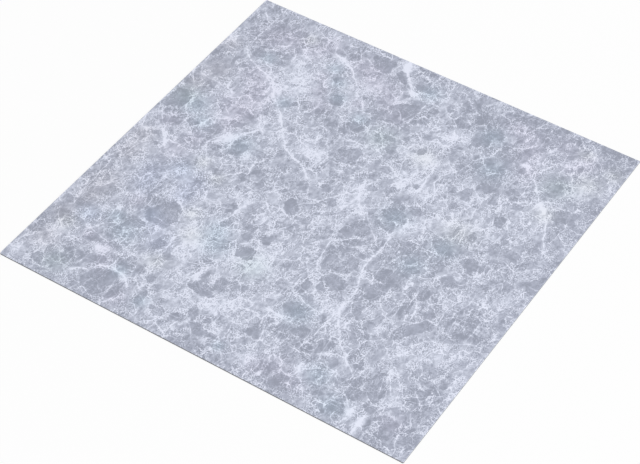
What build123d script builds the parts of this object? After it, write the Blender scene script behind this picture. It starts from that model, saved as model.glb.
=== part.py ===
"""Vinyl floor tile: one square sheet of filled PVC, lying flat with its printed face up.

A tile of this kind is pressed as one laminate and punched out of it face up, so it is a
single piece. The punch rolls the face's rim over into a small round, leaves upright sides
that butt against the next tile, and breaks the sharp rim of the back slightly. The marbling
is print and fine relief, which is not part of the solid.

The frame: +Z points up out of the printed face, and +X and +Y run along the sides. The
origin is the middle of the back, which is the face that lies on the subfloor.
"""

import os

from build123d import *

# Driving sizes, in millimetres
SIDE = 304.8  # the one foot module that the tile is laid on, the same both ways
THICKNESS = 1.2  # back to printed face
CORNER_RADIUS = 0.6  # how the punch rounds each corner, seen from above
FACE_ROLL = 0.2  # radius of the rolled rim round the printed face
BACK_BREAK = 0.08  # leg of the small break round the back


def make_tile():
    """The whole tile: the punched blank, with its face rim rolled and its back rim broken."""
    with BuildPart() as tile:
        with BuildSketch(Plane.XY):
            RectangleRounded(SIDE, SIDE, CORNER_RADIUS)
        extrude(amount=THICKNESS)
        rims = tile.edges().group_by(Axis.Z)
        face_rim, back_rim = rims[-1], rims[0]
        fillet(face_rim, radius=FACE_ROLL)
        chamfer(back_rim, length=BACK_BREAK)
    tile.part.label = "tile"
    return tile.part


os.makedirs("parts", exist_ok=True)
tile = make_tile()
export_step(tile, f"parts/{tile.label}.step")
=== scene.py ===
"""One marble printed vinyl floor tile, made around its CAD solid, with the stage it lies on.

The tile is a punched sheet of filled PVC. Its face is a printed film under a clear wear
layer: a broken blue grey marble, of dark smooth clasts in a milky, finely crackled matrix,
crossed by white veins. Lengths are millimetres in the lists and metres in the settings.
"""

import math

import bmesh
import bpy
import numpy as np
from mathutils import Matrix, Vector


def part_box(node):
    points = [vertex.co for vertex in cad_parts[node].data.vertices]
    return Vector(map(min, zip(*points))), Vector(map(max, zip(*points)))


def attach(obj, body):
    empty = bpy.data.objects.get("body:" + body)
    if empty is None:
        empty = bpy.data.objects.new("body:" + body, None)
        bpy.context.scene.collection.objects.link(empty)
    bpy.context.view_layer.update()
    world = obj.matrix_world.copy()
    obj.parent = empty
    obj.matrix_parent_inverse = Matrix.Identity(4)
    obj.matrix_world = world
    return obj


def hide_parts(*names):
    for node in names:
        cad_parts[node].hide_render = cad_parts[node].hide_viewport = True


bl_info = {
    "name": "Vinyl Floor Tile",
    "version": (1, 0, 0),
    "blender": (4, 5, 0),
    "location": "3D Viewport > Sidebar > Floor Tile",
    "description": "Makes a marble printed vinyl floor tile and the stage that it lies on",
    "category": "Add Mesh",
}

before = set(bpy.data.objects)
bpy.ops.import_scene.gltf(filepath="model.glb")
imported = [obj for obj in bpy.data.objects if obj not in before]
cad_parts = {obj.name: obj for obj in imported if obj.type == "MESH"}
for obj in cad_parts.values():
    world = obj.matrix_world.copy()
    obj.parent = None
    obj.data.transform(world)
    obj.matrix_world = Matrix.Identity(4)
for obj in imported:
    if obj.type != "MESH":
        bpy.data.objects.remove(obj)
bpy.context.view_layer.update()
TILE_LOW, TILE_HIGH = (Vector(corner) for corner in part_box("tile"))
MM = 0.001

# The marble as it is printed, seen from above: x to the right, y away, from the tile's middle.
# A clast is a dark smooth fragment: middle x, y, length, width, turn in degrees, depth of tone.
CLASTS = (
    (-127, 131, 14, 7, 80, 0.6), (-109, 134, 12, 8, 20, 0.7), (-103, 126, 8, 5, 0, 0.6),
    (-86, 127, 6, 8, 0, 0.7), (-123, 101.5, 11, 10, 0, 1.0), (-123, 113, 11, 10, 0, 0.6),
    (-106, 108, 9, 7, 0, 0.7), (-109, 100, 12, 8, 0, 0.4), (-121, 89, 6, 4, 0, 0.7),
    (-137, 74, 26, 26, 0, 0.4), (-109, 77, 8, 6, 0, 0.6), (-103, 67, 8, 4, 45, 0.7),
    (-98, 62, 10, 9, 0, 0.8), (-77, 68, 10, 6, 30, 0.8), (-51, 90, 11, 10, 0, 0.9),
    (-63, 135, 10, 6, 0, 0.6), (-54, 131, 7, 10, 0, 0.7), (-43, 126, 8, 6, 0, 0.5),
    (-62, 110, 8, 6, 0, 0.7), (-72, 108, 5, 4, 0, 0.7), (-83, 87, 16, 5, 35, 0.6),
    (-80, 54, 8, 7, 0, 0.7), (-145, 55, 7, 8, 0, 0.7), (-134, 56, 7, 6, 0, 0.7),
    (-114, 49, 6, 5, 0, 0.6), (-98, 44, 10, 8, 0, 0.6), (-62, 64, 5, 4, 0, 0.7),
    (-43, 68, 6, 10, 0, 0.6), (-43, 139.5, 20, 16, 0, 0.95), (-26, 135, 16, 9, -45, 0.95),
    (-8, 135, 15, 11, -40, 0.9), (-16, 94, 18, 12, 0, 0.7), (10.5, 117, 7, 6, 0, 0.8),
    (10, 104.5, 8, 8, 0, 0.7), (4, 100.5, 7, 6, 0, 0.8), (4, 92.5, 12, 5, -50, 0.7),
    (35, 116.5, 14, 12, 0, 0.95), (29, 133.5, 12, 6, -55, 0.8), (20, 126.5, 6, 6, 0, 0.7),
    (-28, 74.5, 13, 10, 0, 1.0), (-31, 66.5, 8, 6, 0, 0.8), (6, 68.5, 8, 13, 0, 0.8),
    (0, 77.5, 10, 6, 0, 0.8), (-13, 48, 17, 18, 0, 0.9), (-19, 64.5, 7, 6, 0, 0.8),
    (13, 50, 10, 8, 0, 0.7), (6, 53.5, 6, 6, 0, 0.7), (25, 78.5, 4, 5, 0, 0.8),
    (20, 76.5, 4, 3, 0, 0.7), (34.5, 44.5, 3, 4, 0, 0.9), (38.5, 46.5, 4, 6, 0, 0.9),
    (-35, 102.5, 7, 5, 0, 0.7), (53, 82, 8, 6, 0, 0.7), (18, 92.5, 8, 8, 0, 0.5),
    (42, 93.5, 8, 8, 0, 0.5), (52, 109.5, 16, 15, 0, 0.9), (59, 121.5, 15, 9, -25, 0.9),
    (71.5, 114, 7, 6, 0, 0.7), (73.5, 99.5, 22, 20, 0, 0.6), (61.5, 88.5, 14, 10, 0, 0.6),
    (80.5, 76, 12, 20, 0, 0.9), (96.5, 76.5, 12, 12, 0, 0.9), (104.5, 68.5, 8, 6, 0, 0.7),
    (101.5, 51, 11, 11, 0, 1.0), (83.5, 138.5, 10, 10, 0, 0.7), (95.5, 137.5, 12, 12, 0, 0.7),
    (86.5, 118.5, 8, 9, 0, 0.7), (83, 127.5, 4, 8, 0, 0.7), (75.5, 126.5, 4, 6, 0, 0.7),
    (102, 122.5, 7, 6, 0, 0.7), (91.5, 99.5, 7, 7, 0, 0.9), (92.5, 125.5, 5, 7, 0, 0.7),
    (112.5, 134.5, 9, 12, 0, 0.7), (119.5, 137.5, 10, 8, 0, 0.7), (118.5, 118, 3.5, 6, 0, 0.9),
    (123.5, 122.5, 4, 6, 0, 0.8), (140.5, 136.5, 14, 14, 0, 0.6), (134.5, 125.5, 14, 5, -55, 0.7),
    (112.5, 102.5, 20, 20, 0, 0.45), (117.5, 89.5, 8, 6, 0, 0.7), (136.5, 76.5, 20, 14, 0, 0.85),
    (147.5, 90.5, 9, 10, 0, 0.7), (139, 102.5, 5, 5, 0, 0.7), (145, 100.5, 8, 8, 0, 0.7),
    (70.5, 60.5, 9, 12, 0, 0.7), (60.5, 59.5, 8, 8, 0, 0.7), (88.5, 60.5, 10, 10, 0, 0.4),
    (68.5, 45.5, 8, 7, 0, 0.7), (-128.5, 32, 10, 12, 0, 0.7), (-122.5, 16, 9, 6, -35, 0.8),
    (-105.5, 18, 13, 16, -20, 0.9), (-95.5, 31.5, 10, 8, 0, 0.9), (-95.5, 43, 14, 8, 0, 0.6),
    (-112.5, 44, 10, 8, 0, 0.6), (-80.5, 13, 12, 15, 0, 0.85), (-94.5, 5, 10, 7, 0, 0.8),
    (-87.5, 0, 7, 6, 0, 0.8), (-111, 9, 7, 8, 0, 0.7), (-113, 1, 8, 7, 0, 0.7),
    (-104.5, -2, 8, 6, 0, 0.7), (-137.5, 10, 12, 12, 0, 0.6), (-143.5, 8, 8, 7, 0, 0.6),
    (-135.5, -5, 7, 6, 0, 0.7), (-87.5, 50, 6, 6, 0, 0.7), (-60.5, 47, 5, 5, 0, 0.7),
    (-67.5, 25, 7, 11, 0, 0.7), (-51.5, 24, 8, 10, 0, 0.7), (-43.5, 13, 9, 8, 0, 0.7),
    (-52.5, -1, 10, 8, 0, 0.8), (-59.5, -8, 12, 6, 0, 0.8), (-78.5, -14, 12, 8, 0, 0.6),
    (-51.5, -38, 8, 11, 0, 0.95), (-132.5, -27, 7, 5, 0, 0.7), (-119.5, -34, 12, 12, 0, 0.5),
    (-141.5, -31, 10, 10, 0, 0.5), (-105.5, -52, 7, 5, 0, 0.8), (-68.5, -34, 8, 6, 0, 0.4),
    (-93.5, -23, 5, 4, 0, 0.7), (-86.5, -28, 5, 4, 0, 0.7), (-35, 48, 7, 7, 0, 0.6),
    (-11, 28, 10, 8, 0, 0.7), (-11, 13, 9, 9, 0, 0.8), (-23, 5, 9, 8, 0, 0.7),
    (0, 4, 7, 7, 0, 0.7), (3, -6, 10, 4, 35, 0.8), (-21, -13, 18, 11, -35, 1.0),
    (-27, -5, 9, 6, 0, 0.8), (-24, 24, 6, 5, 0, 0.7), (8, 46, 10, 15, 0, 0.5),
    (16, 30, 7, 6, 0, 0.7), (20, 42, 9, 8, 0, 0.6), (27, 35, 10, 7, 45, 0.7),
    (34, 31, 10, 9, 0, 0.6), (52, 28, 11, 10, 0, 0.95), (40, 17, 18, 12, 0, 0.85),
    (44, 6, 10, 10, 0, 0.9), (34.5, 6, 5, 4, 0, 0.8), (33, -17, 14, 7, 35, 0.9),
    (26, -32, 12, 15, 0, 1.0), (36, -34, 26, 24, 0, 0.6), (8, -26, 5, 5, 0, 0.8),
    (8.5, -35.5, 5, 4, 0, 0.8), (14, -18, 7, 6, 0, 0.8), (18.5, -41.5, 4, 4, 0, 0.8),
    (-9, -30, 8, 6, 0, 0.7), (0, -25, 5, 4, 0, 0.7), (-3, -20, 7, 6, 0, 0.7),
    (-9, -21, 7, 5, 0, 0.7), (-34, -28, 6, 5, 0, 0.7), (-39, -29, 9, 10, 0, 0.6),
    (-18, -30, 6, 4, 0, 0.7), (-32, -44, 11, 8, 0, 0.7), (-14.5, -47, 7, 14, 0, 0.9),
    (14, -45, 8, 7, 0, 0.8), (28, -47, 9, 8, 0, 0.7), (-46, -7, 6, 4, 0, 0.7),
    (94.5, 28, 5, 9, 0, 0.8), (114.5, 28, 12, 22, -65, 0.7), (113.5, 36, 9, 8, 0, 0.7),
    (128.5, 28, 5, 7, 0, 0.7), (132.5, 39, 12, 8, 0, 0.7), (120.5, 13, 7, 6, 0, 0.7),
    (90.5, 16, 9, 7, 0, 0.6), (83.5, 9, 13, 13, 0, 0.85), (77.5, 13, 6, 6, 0, 0.7),
    (108.5, 7, 16, 11, 0, 0.9), (108.5, -1, 8, 6, 0, 0.8), (124, -4, 12, 6, 50, 0.95),
    (101.5, -14, 13, 11, 0, 0.95), (111.5, -25, 7, 5, 0, 0.8), (61.5, 0, 11, 7, 0, 0.8),
    (64.5, -6, 8, 6, 0, 0.8), (70.5, -12, 10, 8, 0, 0.9), (76.5, -20, 13, 12, 0, 0.9),
    (65.5, -32, 16, 14, 0, 1.0), (67.5, -47, 14, 24, 0, 0.95), (75.5, -33, 9, 8, 0, 0.7),
    (93.5, -32, 12, 12, 0, 0.6), (102.5, -33, 6, 6, 0, 0.7), (89.5, -47, 20, 7, -80, 0.95),
    (80, -49, 5, 5, 0, 0.8), (104.5, -45, 8, 6, 0, 0.7), (130.5, -36, 14, 12, 0, 0.7),
    (137.5, -33, 4, 5, 0, 0.8), (122, -34, 8, 8, 0, 0.5), (-127.5, -67.5, 15, 16, 0, 0.6),
    (-136.5, -83.5, 13, 16, 0, 0.6), (-98.5, -82.5, 16, 11, 0, 0.9), (-72.5, -89.5, 10, 13, 0, 0.9),
    (-110.5, -91.5, 12, 9, 0, 0.6), (-110.5, -107.5, 9, 7, 0, 0.9), (-102.5, -124.5, 14, 11, 0, 0.9),
    (-94.5, -120.5, 6, 7, 0, 0.7), (-130.5, -140.5, 11, 11, 0, 1.0), (-79.5, -116.5, 10, 5, 0, 0.7),
    (-67.5, -114.5, 7, 9, 0, 0.7), (-58.5, -116.5, 7, 6, 0, 0.7), (-55.5, -129.5, 8, 9, 0, 0.8),
    (-60.5, -94.5, 7, 6, 0, 0.7), (-139.5, -100.5, 14, 8, 0, 0.7), (-120, -60, 4, 4, 0, 0.7),
    (-117, -124, 10, 8, 0, 0.5), (-96.5, -57.5, 4, 8, 0, 0.7), (-21, -64, 12, 13, 0, 1.0),
    (-28, -52.5, 7, 6, 0, 0.8), (10, -55.5, 9, 13, 0, 0.5), (42, -55, 22, 11, 15, 0.9),
    (27, -68.5, 8, 13, 0, 0.95), (33, -74.5, 8, 6, 0, 0.8), (36, -62.5, 7, 6, 0, 0.8),
    (1, -81.5, 6, 9, 60, 0.8), (-18.5, -95.5, 8, 12, 0, 0.95), (-5, -90.5, 7, 8, 0, 0.7),
    (-31, -95, 5, 8, 0, 0.8), (-36, -84.5, 6, 6, 0, 0.7), (-25, -106.5, 22, 9, 0, 0.9),
    (32, -88.5, 18, 14, 0, 0.85), (46, -102.5, 11, 13, 0, 0.95), (35, -104.5, 9, 9, 0, 0.8),
    (24, -103.5, 6, 5, 0, 0.7), (22, -117.5, 9, 12, 0, 0.8), (-20, -125.5, 8, 11, 0, 0.95),
    (-7, -126.5, 7, 5, -45, 0.8), (-26, -133.5, 12, 8, 0, 0.7), (-38, -136.5, 12, 8, 0, 0.7),
    (-4, -134.5, 22, 6, 0, 0.9), (9, -139.5, 14, 8, 0, 0.7), (23, -127.5, 6, 5, 0, 0.7),
    (6, -122.5, 5, 4, 0, 0.7), (49, -133.5, 10, 7, 0, 0.9), (50, -145.5, 12, 10, 0, 0.7),
    (-1, -145.5, 20, 8, 0, 0.5), (50, -85, 8, 8, 0, 0.5), (75.5, -81.5, 15, 8, 0, 0.7),
    (77.5, -89.5, 10, 8, 0, 0.5), (64.5, -102.5, 13, 12, 0, 0.9), (91.5, -102.5, 7, 13, 0, 0.95),
    (77.5, -111, 6, 8, 0, 0.8), (100.5, -124.5, 13, 10, 0, 0.95), (96.5, -116.5, 8, 6, 0, 0.8),
    (114.5, -129.5, 9, 6, 0, 0.8), (123.5, -89.5, 7, 11, 0, 0.95), (142.5, -88.5, 8, 12, 0, 0.8),
    (136.5, -94.5, 11, 7, 0, 0.7), (145, -102.5, 5, 10, 0, 0.95), (114.5, -63, 5, 5, 0, 0.8),
    (123.5, -58.5, 10, 9, 0, 0.5), (129.5, -134.5, 16, 12, 0, 0.7), (148.5, -136.5, 10, 16, 0, 0.7),
    (94.5, -139.5, 15, 12, 0, 0.7), (83.5, -137.5, 9, 11, 0, 0.7), (56.5, -137, 14, 8, 0, 0.7),
    (65.5, -137.5, 9, 8, 0, 0.7), (70.5, -126.5, 12, 14, 0, 0.4), (119.5, -135.5, 5, 5, 0, 0.8),
    (133.5, -122.5, 14, 8, 0, 0.5),
)
# The large angular clasts: their corners in turn, then depth of tone.
SLABS = (
    (((2, 120), (-12, 111), (-16, 104), (-9, 95), (-3, 92), (1, 97), (2, 104), (3, 112)), 1.0),
    (((19, -15), (20, -8), (28, 4), (33, 1), (39, -7), (33, -12), (25, -17)), 0.95),
    (((94, -66), (97, -60), (105, -51), (113, -50), (113, -56), (106, -66), (98, -77), (92, -74)), 0.9),
    (((103, -101), (109, -99), (114, -107), (118, -118), (113, -124), (106, -120), (102, -110)), 1.0),
    (((-98, -138), (-94, -128), (-86, -124), (-76, -125), (-69, -131), (-68, -142), (-80, -149),
      (-92, -146)), 0.95),
    (((-98, -70), (-91, -59), (-86, -51), (-80, -55), (-73, -66), (-78, -76), (-92, -75)), 0.9),
    (((-151, 41), (-142, 42), (-136, 36), (-136, 24), (-144, 20), (-151, 21)), 0.9),
    (((154, 24), (149, 22), (142, 13), (147, 6), (154, 4)), 0.9),
)
# A vein: its route, its width, and how white it is.
VEINS = (
    (((-133, 100), (-126, 93), (-114, 87), (-100, 82), (-88, 68), (-76, 57)), 2.0, 0.9),
    (((-76, 57), (-67, 46), (-53, 30), (-46, 26), (-36, 23), (-25, 14)), 2.2, 1.0),
    (((-25, 14), (-21, 10), (-18.5, 4)), 1.3, 0.8),
    (((49, -1), (50, -14), (49, -24), (50, -33), (52, -42), (55.5, -52), (57, -62)), 2.2, 1.0),
    (((57, -62), (56, -72), (60.5, -80.5), (66.5, -88.5), (71.5, -96.5)), 2.8, 0.95),
    (((71.5, -96.5), (78.5, -100.5), (83.5, -106.5), (90.5, -111.5)), 1.8, 0.9),
    (((55.5, -78), (55, -90), (54.5, -100), (53.5, -106.5)), 1.7, 0.9),
    (((99.5, 97.5), (105.5, 92.5), (110.5, 85.5), (116.5, 78.5), (123.5, 72.5)), 2.6, 0.9),
    (((123.5, 72.5), (127.5, 65.5), (130.5, 59.5), (134.5, 49.5), (138.5, 41.5)), 1.8, 0.85),
    (((-29, 151), (-27, 144), (-23, 139), (-18, 134), (-13, 127), (-10, 124.5)), 3.0, 1.0),
    (((-81, 136), (-78, 131), (-72, 129), (-66, 126), (-59, 123), (-55, 118), (-50, 113)), 2.0, 1.0),
    (((-145, 141), (-135.5, 130)), 1.8, 0.7),
    (((9, 32), (9, 26), (14, 16), (22, 7)), 1.5, 0.9),
    (((9, 28), (4, 17), (-3, 7), (-9, 0)), 1.5, 0.9),
    (((40, 70), (41, 62), (42.5, 52), (43, 45)), 1.4, 0.9),
    (((56.5, 100.5), (63.5, 94.5), (69.5, 87.5)), 1.2, 0.7),
    (((64.5, 97.5), (67.5, 103.5)), 1.2, 0.7),
    (((70.5, 69.5), (77.5, 62.5), (81.5, 55.5), (83.5, 48.5)), 1.3, 0.6),
    (((80.5, 116.5), (83.5, 122.5), (86.5, 126.5)), 1.6, 0.9),
    (((80.5, 133.5), (79, 125.5)), 1.6, 0.9),
    (((119.5, 149.5), (123.5, 141.5), (126.5, 133.5), (120.5, 127.5)), 1.3, 0.8),
    (((120.5, 114.5), (124.5, 107.5)), 1.7, 0.8),
    (((-100.5, 7), (-92.5, 14), (-87.5, 21), (-82.5, 29), (-78.5, 37)), 2.4, 1.0),
    (((-108.5, 12), (-102.5, 7), (-98.5, 0), (-92.5, -7), (-87.5, -15), (-83.5, -21)), 1.6, 0.65),
    (((-112.5, 27), (-114.5, 21), (-117.5, 14), (-123.5, 10)), 1.6, 0.9),
    (((-87.5, 50), (-82.5, 43), (-80.5, 39), (-75.5, 34)), 1.5, 0.8),
    (((-134.5, 40), (-134.5, 29), (-132.5, 24), (-128.5, 21), (-126.5, 16), (-127, 11)), 1.4, 0.8),
    (((-146.5, 17), (-140.5, 8), (-135.5, 3)), 1.0, 0.9),
    (((-133.5, -1), (-128.5, -6), (-123.5, -12)), 2.8, 1.0),
    (((-42.5, -25), (-46.5, -32), (-48, -44), (-50.5, -50)), 1.8, 0.9),
    (((18, -23), (20, -32), (22, -42), (27, -50)), 1.2, 1.0),
    (((21, -24), (31, -24), (38, -20), (44, -18)), 0.9, 0.7),
    (((24, -22), (29, -16), (37, -11)), 0.9, 0.9),
    (((33, 0), (40, -6), (46, -12)), 1.0, 0.9),
    (((38, -28.5), (48, -28)), 0.8, 0.8),
    (((35, -49), (42, -46), (49, -43)), 1.2, 0.8),
    (((-35, -3), (-37, -8)), 1.5, 0.8),
    (((-37, -27), (-32, -36)), 0.8, 0.8),
    (((4, -20), (2, -27), (-3, -31)), 1.3, 0.8),
    (((-24, -19), (-18, -22), (-13, -23)), 1.0, 0.8),
    (((63.5, -13), (60.5, -24), (58.5, -33)), 1.0, 0.6),
    (((69.5, -18), (75.5, -14)), 0.8, 0.7),
    (((82.5, -18), (86.5, -24)), 0.9, 0.7),
    (((89.5, -36), (94.5, -42), (96.5, -50)), 1.8, 0.9),
    (((93.5, -14), (97.5, -10)), 1.5, 0.8),
    (((125.5, 22), (123.5, 15), (122, 10)), 0.8, 0.8),
    (((133.5, -26), (139.5, -32)), 0.9, 0.8),
    (((90.5, -60.5), (102.5, -54.5), (105.5, -50), (110.5, -49)), 1.1, 0.9),
    (((-101.5, -53.5), (-99.5, -63.5), (-100, -71.5)), 1.2, 0.8),
    (((-93.5, -59.5), (-96.5, -64.5)), 1.2, 0.8),
    (((-84.5, -49.5), (-78.5, -54.5)), 1.2, 0.8),
    (((-131.5, -60.5), (-134, -65.5)), 1.0, 0.8),
    (((-139.5, -60.5), (-138, -73)), 1.0, 0.7),
    (((-113.5, -103), (-105.5, -104.5)), 0.9, 0.7),
    (((-108.5, -88.5), (-101.5, -90.5)), 0.8, 0.7),
    (((-106, -138), (-98, -132), (-94, -127), (-87.5, -123), (-80, -123), (-73, -125), (-67, -130)),
     1.5, 1.2),
    (((-76, -132.5), (-75, -142.5)), 0.9, 0.9),
    (((-68.5, -141.5), (-69.5, -146), (-72.5, -149.5)), 1.2, 0.9),
    (((-65.5, -135.5), (-56.5, -147.5)), 0.9, 0.8),
    (((-66.5, -80.5), (-66.5, -90.5), (-71.5, -99.5)), 1.2, 0.8),
    (((-62.5, -108.5), (-62.5, -118.5)), 0.9, 0.9),
    (((-19, -50.5), (-16, -58.5)), 1.3, 0.9),
    (((-27, -58.5), (-21, -53.5)), 1.0, 0.8),
    (((-13, -56.5), (-9, -46.5)), 0.9, 0.8),
    (((22, -45.5), (26, -52.5), (32, -53.5)), 1.2, 0.9),
    (((21, -64.5), (22, -73.5), (23, -77.5)), 1.6, 0.9),
    (((28, -76.5), (34, -79.5), (44, -80.5), (52, -77.5)), 1.5, 0.9),
    (((32, -63.5), (34, -67.5)), 1.0, 0.8),
    (((-36, -91), (-34.5, -102)), 2.8, 0.9),
    (((19, -96.5), (27, -97), (35, -98)), 2.8, 0.95),
    (((6, -117.5), (16, -115.5)), 1.2, 0.8),
    (((25, -109.5), (28, -119.5), (29, -128.5)), 0.9, 0.8),
    (((-13, -136.5), (-10, -140.5)), 0.8, 0.8),
    (((38, -146.5), (44, -140.5)), 1.3, 0.6),
    (((66.5, -75.5), (67, -83.5)), 3.0, 0.95),
    (((73.5, -104.5), (66.5, -108.5), (58.5, -114.5), (48.5, -115)), 1.4, 0.8),
    (((58.5, -99.5), (68.5, -94.5)), 1.2, 0.8),
    (((93.5, -53.5), (95.5, -60.5)), 1.2, 0.9),
    (((86, -47.5), (87, -58.5)), 0.9, 0.8),
    (((84.5, -63.5), (85, -70.5)), 1.0, 0.7),
    (((95.5, -43), (95.5, -52)), 1.8, 0.9),
    (((109.5, -78.5), (104.5, -86.5), (98.5, -94.5)), 1.9, 0.9),
    (((110.5, -98.5), (112.5, -103.5), (118.5, -111.5)), 1.3, 0.9),
    (((109.5, -105.5), (112.5, -115.5)), 1.0, 0.9),
    (((119.5, -88.5), (121, -95.5)), 1.2, 0.8),
    (((126.5, -110.5), (135.5, -104.5), (145.5, -96.5)), 1.2, 0.9),
    (((142.5, -102.5), (143.5, -110.5)), 0.9, 0.8),
    (((127.5, -59.5), (134.5, -54.5), (142.5, -50.5)), 1.0, 0.8),
    (((92.5, -123), (97.5, -120.5)), 1.2, 0.9),
    (((97.5, -129.5), (103.5, -134.5)), 1.2, 0.9),
    (((106.5, -134), (105, -146)), 2.6, 0.8),
    (((115, -136), (115, -149)), 3.0, 1.0),
    (((109.5, -125.5), (106.5, -132.5)), 1.5, 0.9),
    (((60.5, -121.5), (62, -130.5), (62.5, -140.5)), 1.9, 0.8),
    (((51.5, -133.5), (58.5, -134.5), (66.5, -133.5), (72.5, -139.5), (77.5, -145.5)), 1.2, 0.8),
    (((132.5, -147), (139.5, -149.5)), 1.0, 0.8),
    (((114.5, -44.5), (121.5, -54.5)), 0.8, 0.7),
    (((-116.5, 126), (-112, 127)), 1.8, 0.95),
    (((-114, 116), (-109.5, 119.5)), 1.6, 0.95),
    (((-106, 130.5), (-102.5, 132.5)), 1.6, 0.95),
    (((-104.5, 117.5), (-100.5, 112.5), (-99.5, 107.5)), 1.2, 0.9),
    (((-135, 119.5), (-134, 114), (-135.5, 107.5)), 0.9, 0.8),
    (((-107.5, 86.5), (-103, 91), (-99.5, 96)), 1.3, 0.8),
    (((-148.5, 65.5), (-146, 61.5), (-137.5, 59.5)), 1.0, 0.8),
    (((-54.5, 137.5), (-51, 135.5)), 1.4, 0.9),
    (((3, 119.5), (3, 105.5), (0, 96.5)), 0.8, 0.9),
    (((-13, 144.5), (-8, 143.5)), 1.5, 0.8),
    (((8, 100.5), (14, 94.5), (20, 87.5)), 1.0, 0.6),
    (((-28, 61.5), (-29, 51.5)), 0.8, 0.8),
    (((-27, 59.5), (-20, 61), (-14, 62)), 0.9, 0.8),
    (((-43, 54.5), (-40, 46.5)), 1.5, 0.8),
    (((-19, 82.5), (-16, 74.5), (-13, 65.5)), 1.3, 0.6),
    (((96.5, 67.5), (104.5, 73.5), (107.5, 76.5)), 1.2, 0.8),
    (((106, 58.5), (107, 51.5), (109.5, 47.5)), 0.9, 0.8),
    (((115.5, 81), (126, 86.5)), 1.3, 0.6),
)
# A milky patch: middle x, y, length, width, turn in degrees, and how milky it is.
MILK = (
    (-90, 72, 8, 14, 0, 0.9), (-83, 92, 14, 20, 0, 0.9), (-69, 127, 14, 6, 0, 0.8),
    (-38, 112, 16, 14, 0, 0.8), (-27, 145, 7, 10, 0, 1.4), (-10, 125, 10, 6, 0, 0.9),
    (-3, 124, 14, 7, 0, 0.8), (-12, 114, 14, 5, 42, 0.9), (13, 128, 6, 12, 0, 0.8),
    (34, 102, 8, 6, 0, 0.8), (31, 74, 14, 8, 0, 1.1), (-33, 37, 16, 14, 0, 1.0),
    (12, 21, 10, 14, 0, 1.0), (6, 7, 8, 8, 0, 0.8), (29, 43, 10, 8, 0, 0.8),
    (53, 13, 12, 20, 0, 1.0), (73.5, 30, 7, 5, 0, 1.0), (95, 115, 8, 10, 0, 0.8),
    (98.5, 127, 4, 6, 0, 0.9), (91, 105.5, 7, 3.5, 0, 1.6), (95.5, 60.5, 6, 3, 0, 1.1),
    (92.5, 67.5, 5, 4, 0, 0.9), (119, 75, 10, 8, 0, 0.8), (-92.5, 17.5, 10, 7, 35, 1.6),
    (-104, 33, 14, 6, 0, 0.8), (-72, 9, 5, 5, 0, 0.8), (-56, -24, 10, 6, 0, 0.8),
    (-46, -28, 8, 10, 0, 0.9), (142, -10, 16, 26, 0, 0.6), (-48, -76, 16, 14, 0, 0.9),
    (-62, -69, 14, 14, 0, 0.6), (-68, -106, 10, 6, 0, 0.8), (-100.5, -113, 13, 6, 0, 1.4),
    (-109, -60, 6, 4, 0, 0.9), (-135, -114, 10, 8, 0, 0.8), (-8, -66, 16, 14, 0, 0.7),
    (-2, -108, 20, 8, 0, 0.8), (-10, -116, 12, 8, 0, 0.8), (2, -130, 9, 5, 0, 1.0),
    (31, -137, 8, 14, 0, 0.7), (-46, -136, 9, 10, 0, 0.8), (56, -72, 6, 12, 0, 0.9),
    (100.5, -101.5, 6, 5, 0, 0.8), (110.5, -98.5, 6, 6, 0, 1.0), (121, -106, 6, 8, 0, 0.8),
    (106, -138, 6, 11, 0, 1.0), (115, -142, 5, 12, 0, 1.5), (62, -126, 4, 10, 0, 0.8),
)
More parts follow.
